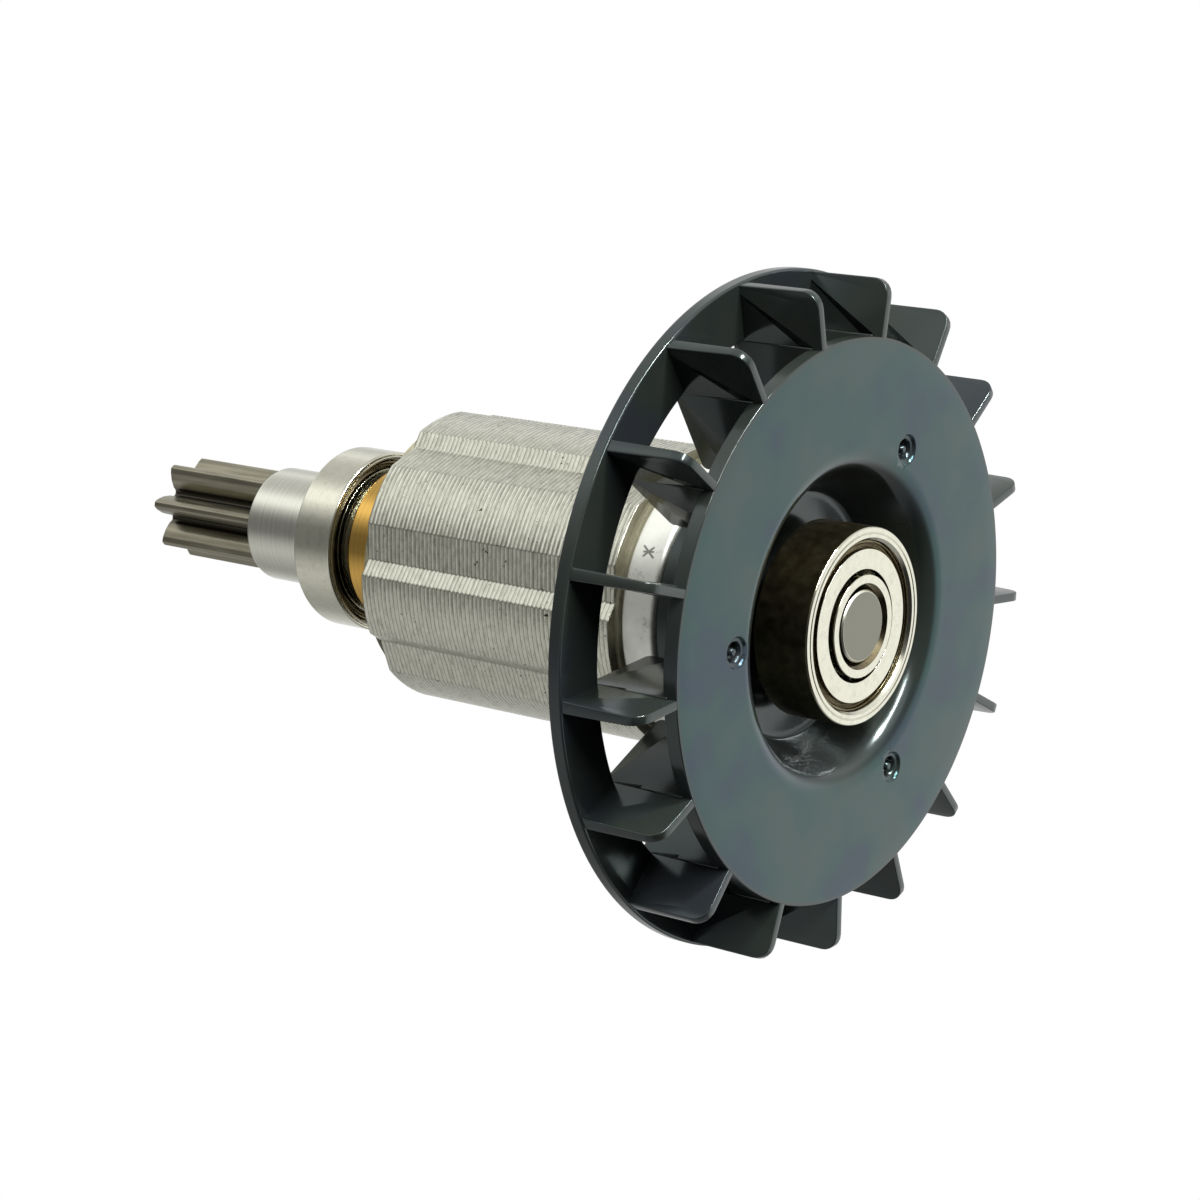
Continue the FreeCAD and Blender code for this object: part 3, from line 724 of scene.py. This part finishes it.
def fanBlades(s):
    # The two halves of the mould meet at the disc's rim, so a blade has two parts: the outer one grows
    # thinner towards the disc and the inner one thicker, with a fine step between them. Each part is a side
    # outline with rounded edges, built flat and stood on edge: the outline's x is the radius, its y the
    # height, and the stack's z the thickness, which is scaled by 1 + draft * (height - middle). It is then
    # turned to each angle.
    face, back, top = s["discFace"], s["discFace"] + s["discThickness"], s["ringBack"]
    step, parting, root = top - s["bladeStep"], s["partingRadius"], s["discRadius"] - s["bladeLap"]
    # Feet go into the disc, and tops stay just under the ring's back, the outer part's a little lower.
    foot, low, outerTop, innerTop = back - s["bladeSunk"], face + 0.02, top - 0.1, top - 0.02
    outer = [(root, low, 0.1), (s["tipRadius"], low, s["cornerRounding"]), (s["tipRadius"], outerTop, 0.1),
             (parting, outerTop, 0.1), (parting, foot, sharp), (root, foot, sharp)]
    inner = [(parting + sharp, foot, 0.1), (parting + sharp, innerTop, 0.1), (s["bladeInner"], innerTop, 0.6),
             (s["bladeInner"], step, 0.4), (wellRadius(s, step) + s["wall"] / 2, step, 0.1),
             (wellRadius(s, back) + s["wall"] / 2, foot, 0.1)]
    half, ease = s["bladeThickness"] / 2, s["bladeEase"]
    curl = np.linspace(0, np.pi / 2, 4)
    lower = np.stack([ease * (1 - np.sin(curl)), -half + ease * (1 - np.cos(curl))], -1)
    rows = np.vstack([lower, lower[::-1] * (1, -1)])
    surfaces = []
    for corners, draft in ((outer, s["outerDraft"]), (inner, s["innerDraft"])):
        points, faces = raisedStack(roundedSection(corners, 6), rows)
        radius, height, sideways = points.T
        sideways = -sideways * (1 + draft * (height - (back + top) / 2))
        for angle in np.radians(s["firstBlade"] + np.arange(s["blades"]) * 360 / s["blades"]):
            turned = np.stack([radius * np.cos(angle) - sideways * np.sin(angle),
                               radius * np.sin(angle) + sideways * np.cos(angle), height], -1)
            surfaces.append((turned, faces))
    return surfaces


makePiece("mouldedFan", [fanBody(fan), fanRing(fan)] + fanBlades(fan), mouldedNylon(fan), "rotor", ["fan"])
print("fan made")

# Ball bearings. Radii and depths are counted from each bearing's own face.
fanBearing = {"boreRadius": 3.5, "innerFace": 4.15, "innerRim": 4.95, "ringBore": 8.2, "ringFace": 8.48,
              "rimRounding": 0.2, "lineAt": 8.9, "shieldHole": 5.45, "shieldEdge": 7.35, "shieldFace": 0.3}
pinionBearing = {"boreRadius": 5.0, "innerFace": 5.4, "innerRim": 6.3, "ringBore": 8.55, "ringFace": 8.9,
                 "rimRounding": 0.25, "lineAt": 9.1, "shieldHole": 6.75, "shieldEdge": 7.8, "shieldFace": 0.3}


def outerRing(node, s):
    # Section turned round the axis: one side as (radius, depth below its face), and its mirror image at the
    # other face. A face carries one fine turned line and falls off to the bore in an unground shoulder.
    low, high = heights(node)
    shoulder, line = s["ringFace"] - s["ringBore"], s["lineAt"]
    lineHalf, lineDepth, fineEdge = 0.1, 0.06, 0.02
    side = [(s["ringBore"], shoulder, sharp), (s["ringFace"], 0, sharp), (line - lineHalf, 0, fineEdge),
            (line, lineDepth, fineEdge), (line + lineHalf, 0, fineEdge),
            (radiusOf(node), 0, s["rimRounding"])]
    corners = [(radius, low + depth, ease) for radius, depth, ease in side]
    corners += [(radius, high - depth, ease) for radius, depth, ease in side[::-1]]
    return [turnedShell(roundedSection(corners, 6, 0.03), evenAngles(224))]


def innerRing(node, s):
    # Rectangle turned round the axis. Its bore's edges carry a wide chamfer, a dark ring round the shaft
    # whose darkness is painted shade.
    low, high = heights(node)
    wide = s["innerFace"] - s["boreRadius"]
    chamferEase, rimEase = 0.06, 0.08
    section = roundedSection([(s["boreRadius"], low + wide, chamferEase), (s["innerFace"], low, sharp),
                              (s["innerRim"], low, rimEase), (s["innerRim"], high, rimEase),
                              (s["innerFace"], high, sharp), (s["boreRadius"], high - wide, chamferEase)], 4)
    return [turnedShell(section, evenAngles(192))]


def pressedShield(face, inward, s):
    # Thin pressed sheet, a section of (radius, depth) pairs turned round the axis: a curled rim in the outer
    # ring, a groove with a fine bead in it, a flat face, and a lip bent in beside the inner ring. Depths are
    # counted from the bearing's face; inward is +1 or -1 along Z.
    sheet = 0.14
    rim, edge, hole, top = s["ringBore"] - 0.02, s["shieldEdge"], s["shieldHole"], s["shieldFace"]
    third = (rim - edge) / 3
    upper = [(rim, 0.8), (rim - 0.04, 0.55), (rim - 0.2, 0.52), (rim - third, 0.9), (rim - 1.5 * third, 0.72),
             (edge + third, 0.9), (edge + 0.06, 0.75), (edge, top), (hole, top), (hole - 0.12, top + 0.45)]
    under = [(hole + 0.02, top + 0.5), (hole + 0.14, top + sheet), (edge - 0.12, top + sheet), (edge, 0.9),
             (edge + third, 1.05), (rim - 0.16, 0.95)]
    section = roundedSection([(r, face + inward * depth, 0.03) for r, depth in upper + under], 3, 0.02)
    return [turnedShell(section, evenAngles(192))]


def dressBearing(prefix, s, sideSteel):
    case, node = prefix + "_bearing_case", prefix + "_bearing_outer_ring"
    low, high = heights(node)
    rim = radiusOf(node)
    edge = 0.02

    # Faces are chosen by the radius of their middle: the side takes sideSteel, and the bore's chamfers and
    # the shields' grooves and lips take the dark brown steel of painted shade.
    def onSide(radius, height):
        return radius > rim - edge

    def inBore(radius, height):
        return radius < s["innerFace"] - edge

    def inGroove(radius, height):
        return (radius > s["shieldEdge"]) | (radius < s["shieldHole"] - edge)

    makePiece(prefix + "BearingOuterRing", outerRing(node, s), bearingSteel, case, [node],
              (sideSteel, onSide))
    node = prefix + "_bearing_inner_ring"
    makePiece(prefix + "BearingInnerRing", innerRing(node, s), bearingSteel, "rotor", [node],
              (oilAndShadeSteel, inBore))
    for side, face, inward in (("fan", low, 1), ("pinion", high, -1)):
        makePiece(prefix + "Bearing" + side.capitalize() + "SideShield", pressedShield(face, inward, s),
                  bearingSteel, case, [prefix + "_bearing_" + side + "_side_shield"],
                  (oilAndShadeSteel, inGroove))
    repaint(prefix + "_bearing_cage", cageNylon)
    repaint(prefix + "_bearing_balls", bearingSteel)


# The fan bearing's side takes the dull dark brown steel: partly old oil, and partly the painted dark
# reflection of the black well round it.
dressBearing("fan", fanBearing, dullOilAndReflectionSteel)
dressBearing("pinion", pinionBearing, bearingSteel)
repaint("magnets", platedMagnet)
print("bearings made")

# Camera where the photograph was taken from: its place and directions come from the circles of the turned
# pieces, in mm in the armature's frame. Its lens and sensor are in mm too, and its clipping in m.
camera = {"place": (0.0, -256.66, -159.71), "right": (0.17607, 0.58793, -0.78951),
          "forward": (-0.00632, 0.80270, 0.59635), "lens": 96.0, "sensor": 36.0, "clip": (0.01, 20.0)}
photoRight, photoAway = Vector(camera["right"]).normalized(), Vector(camera["forward"]).normalized()
photoUp = photoRight.cross(photoAway)


def addCamera(s):
    data = bpy.data.cameras.new("photographCamera")
    data.lens, data.sensor_width = s["lens"], s["sensor"]
    data.clip_start, data.clip_end = s["clip"]
    view = bpy.data.objects.new("photographCamera", data)
    rotation = Matrix((photoRight, photoUp, -photoAway)).transposed()
    view.matrix_world = Matrix.Translation(Vector(s["place"]) * mm) @ rotation.to_4x4()
    bpy.context.scene.collection.objects.link(view)
    bpy.context.scene.camera = view


addCamera(camera)

# Floor, seen only from above: it lets every other ray through, so that light also reaches the fan's face. Its
# half width and its drop below the part are in m.
ground = {"half": 1.2, "drop": 0.00002, "paint": "#f4f4f4", "glow": 0.35}


def addFloor(s):
    mesh = bpy.data.meshes.new("paleFloor")
    half, low = s["half"], cadBox[0][2] - s["drop"]
    mesh.from_pydata([(-half, -half, low), (half, -half, low), (half, half, low), (-half, half, low)], [],
                     [(0, 1, 2, 3)])
    floor = bpy.data.objects.new("paleFloor", mesh)
    bpy.context.scene.collection.objects.link(floor)
    material = bpy.data.materials.new("paleFloor")
    tree = emptyTree(material)
    paint = addNode(tree, "BsdfDiffuse", {"Color": linear(s["paint"])})
    glow = addNode(tree, "Emission", {"Strength": s["glow"]})
    lit = addNode(tree, "AddShader", None, {0: paint, 1: glow})
    clear = addNode(tree, "BsdfTransparent")
    path = addNode(tree, "LightPath").outputs["Is Camera Ray"]
    side = addNode(tree, "NewGeometry").outputs["Backfacing"]
    fromAbove = addNode(tree, "Math", {"operation": "SUBTRACT", 0: 1.0}, {1: side})
    seen = addNode(tree, "Math", {"operation": "MULTIPLY"}, {0: path, 1: fromAbove})
    mixed = addNode(tree, "MixShader", None, {0: seen, 1: clear, 2: lit})
    addNode(tree, "OutputMaterial", None, {"Surface": mixed})
    mesh.materials.append(material)


addFloor(ground)

# World: white to the camera, and a studio to everything else. It is built on the photograph's own right, up
# and away. `levels` gives the light by how far up a direction points, from a pale ground over a dark horizon
# to a bright ceiling, and it gains towards the left. Round spots replace it: a pale backdrop, a wide window
# on the right, a panel above the camera and the dark beside the camera. A small strong lamp overhead and a
# lamp tube beside it, which is a piece of the great circle round its axle, come on top.
studio = {"levels": [(-1.0, 0.55), (-0.65, 0.55), (-0.5, 0.64), (-0.38, 0.54), (-0.15, 0.22), (0.0, 0.2),
                     (0.2, 0.22), (0.33, 0.36), (0.46, 0.7), (0.6, 1.3), (0.7, 1.46), (0.82, 0.95),
                     (1.0, 0.85)],
          "brightest": 2.0, "leftEdges": (0.55, 0.8), "leftGain": 1.42,
          "backdrop": (0, 0, 1), "backdropLight": 1.0, "backdropEdges": (0.7, 0.95),
          "window": (0.943, -0.167, 0.29), "windowEdges": (0.74, 0.9), "windowLight": 1.7,
          "panel": (0.5, 0.55, -0.66), "panelEdges": (0.93, 0.975), "panelLight": 2.2,
          "dark": (0.3, -0.62, -0.72), "darkEdges": (0.64, 0.85), "darkLight": 0.04,
          "lamp": (0.42, 0.81, -0.4), "lampEdges": (0.9955, 0.9975), "lampLight": 220.0,
          "tubeAxle": (0.877, -0.477, -0.045), "tubeWidth": (0.035, 0.07), "tube": (0.3275, 0.6656, -0.671),
          "tubeEdges": (0.93, 0.95), "tubeLight": 90.0}


def addWorld(s):
    world = bpy.data.worlds.new("studio")
    bpy.context.scene.world = world
    tree = emptyTree(world)
    direction = addNode(tree, "TexCoord").outputs["Generated"]

    def towards(parts):
        # Cosine between the ray and a direction given in the photograph's right, up and away.
        axis = photoRight * parts[0] + photoUp * parts[1] + photoAway * parts[2]
        return addNode(tree, "VectorMath", {"operation": "DOT_PRODUCT", 1: axis.normalized()},
                       {0: direction}).outputs["Value"]

    def spot(parts, edges, outside=0.0, inside=1.0):
        # That cosine between two edges, turned to a light from outside to inside.
        return addNode(tree, "MapRange", {"From Min": edges[0], "From Max": edges[1], "To Min": outside,
                                          "To Max": inside}, {0: towards(parts)})

    stops = [((up + 1) / 2, light / s["brightest"]) for up, light in s["levels"]]
    room = addNode(tree, "ValToRGB", {"stops": stops}, {0: spot((0, 1, 0), (-1.0, 1.0))})
    room = addNode(tree, "MapRange", {"To Max": s["brightest"]}, {0: room})
    leftGain = spot((-1, 0, 0), s["leftEdges"], 1.0, s["leftGain"])
    light = addNode(tree, "Math", {"operation": "MULTIPLY"}, {0: room, 1: leftGain})
    for part in ("backdrop", "window", "dark", "panel"):
        light = addNode(tree, "Mix", {"data_type": "FLOAT", 3: s[part + "Light"]},
                        {0: spot(s[part], s[part + "Edges"]), 2: light})
    lamp = spot(s["lamp"], s["lampEdges"], 0.0, s["lampLight"])
    beside = addNode(tree, "Math", {"operation": "ABSOLUTE"}, {0: towards(s["tubeAxle"])})
    core, rim = s["tubeWidth"]
    glow = {"From Min": core, "From Max": rim, "To Min": s["tubeLight"], "To Max": 0.0}
    across = addNode(tree, "MapRange", glow, {0: beside})
    along = spot(s["tube"], s["tubeEdges"])
    tube = addNode(tree, "Math", {"operation": "MULTIPLY"}, {0: across, 1: along})
    for more in (lamp, tube):
        light = addNode(tree, "Math", {"operation": "ADD"}, {0: light, 1: more})
    studioLight = addNode(tree, "Background", None, {"Strength": light})
    white = addNode(tree, "Background", {"Color": (1, 1, 1, 1), "Strength": 1.0})
    path = addNode(tree, "LightPath").outputs["Is Camera Ray"]
    mixed = addNode(tree, "MixShader", None, {0: path, 1: studioLight, 2: white})
    addNode(tree, "OutputWorld", None, {"Surface": mixed})


addWorld(studio)
bpy.context.scene.view_settings.view_transform = "Standard"
print("camera, floor and light ready")
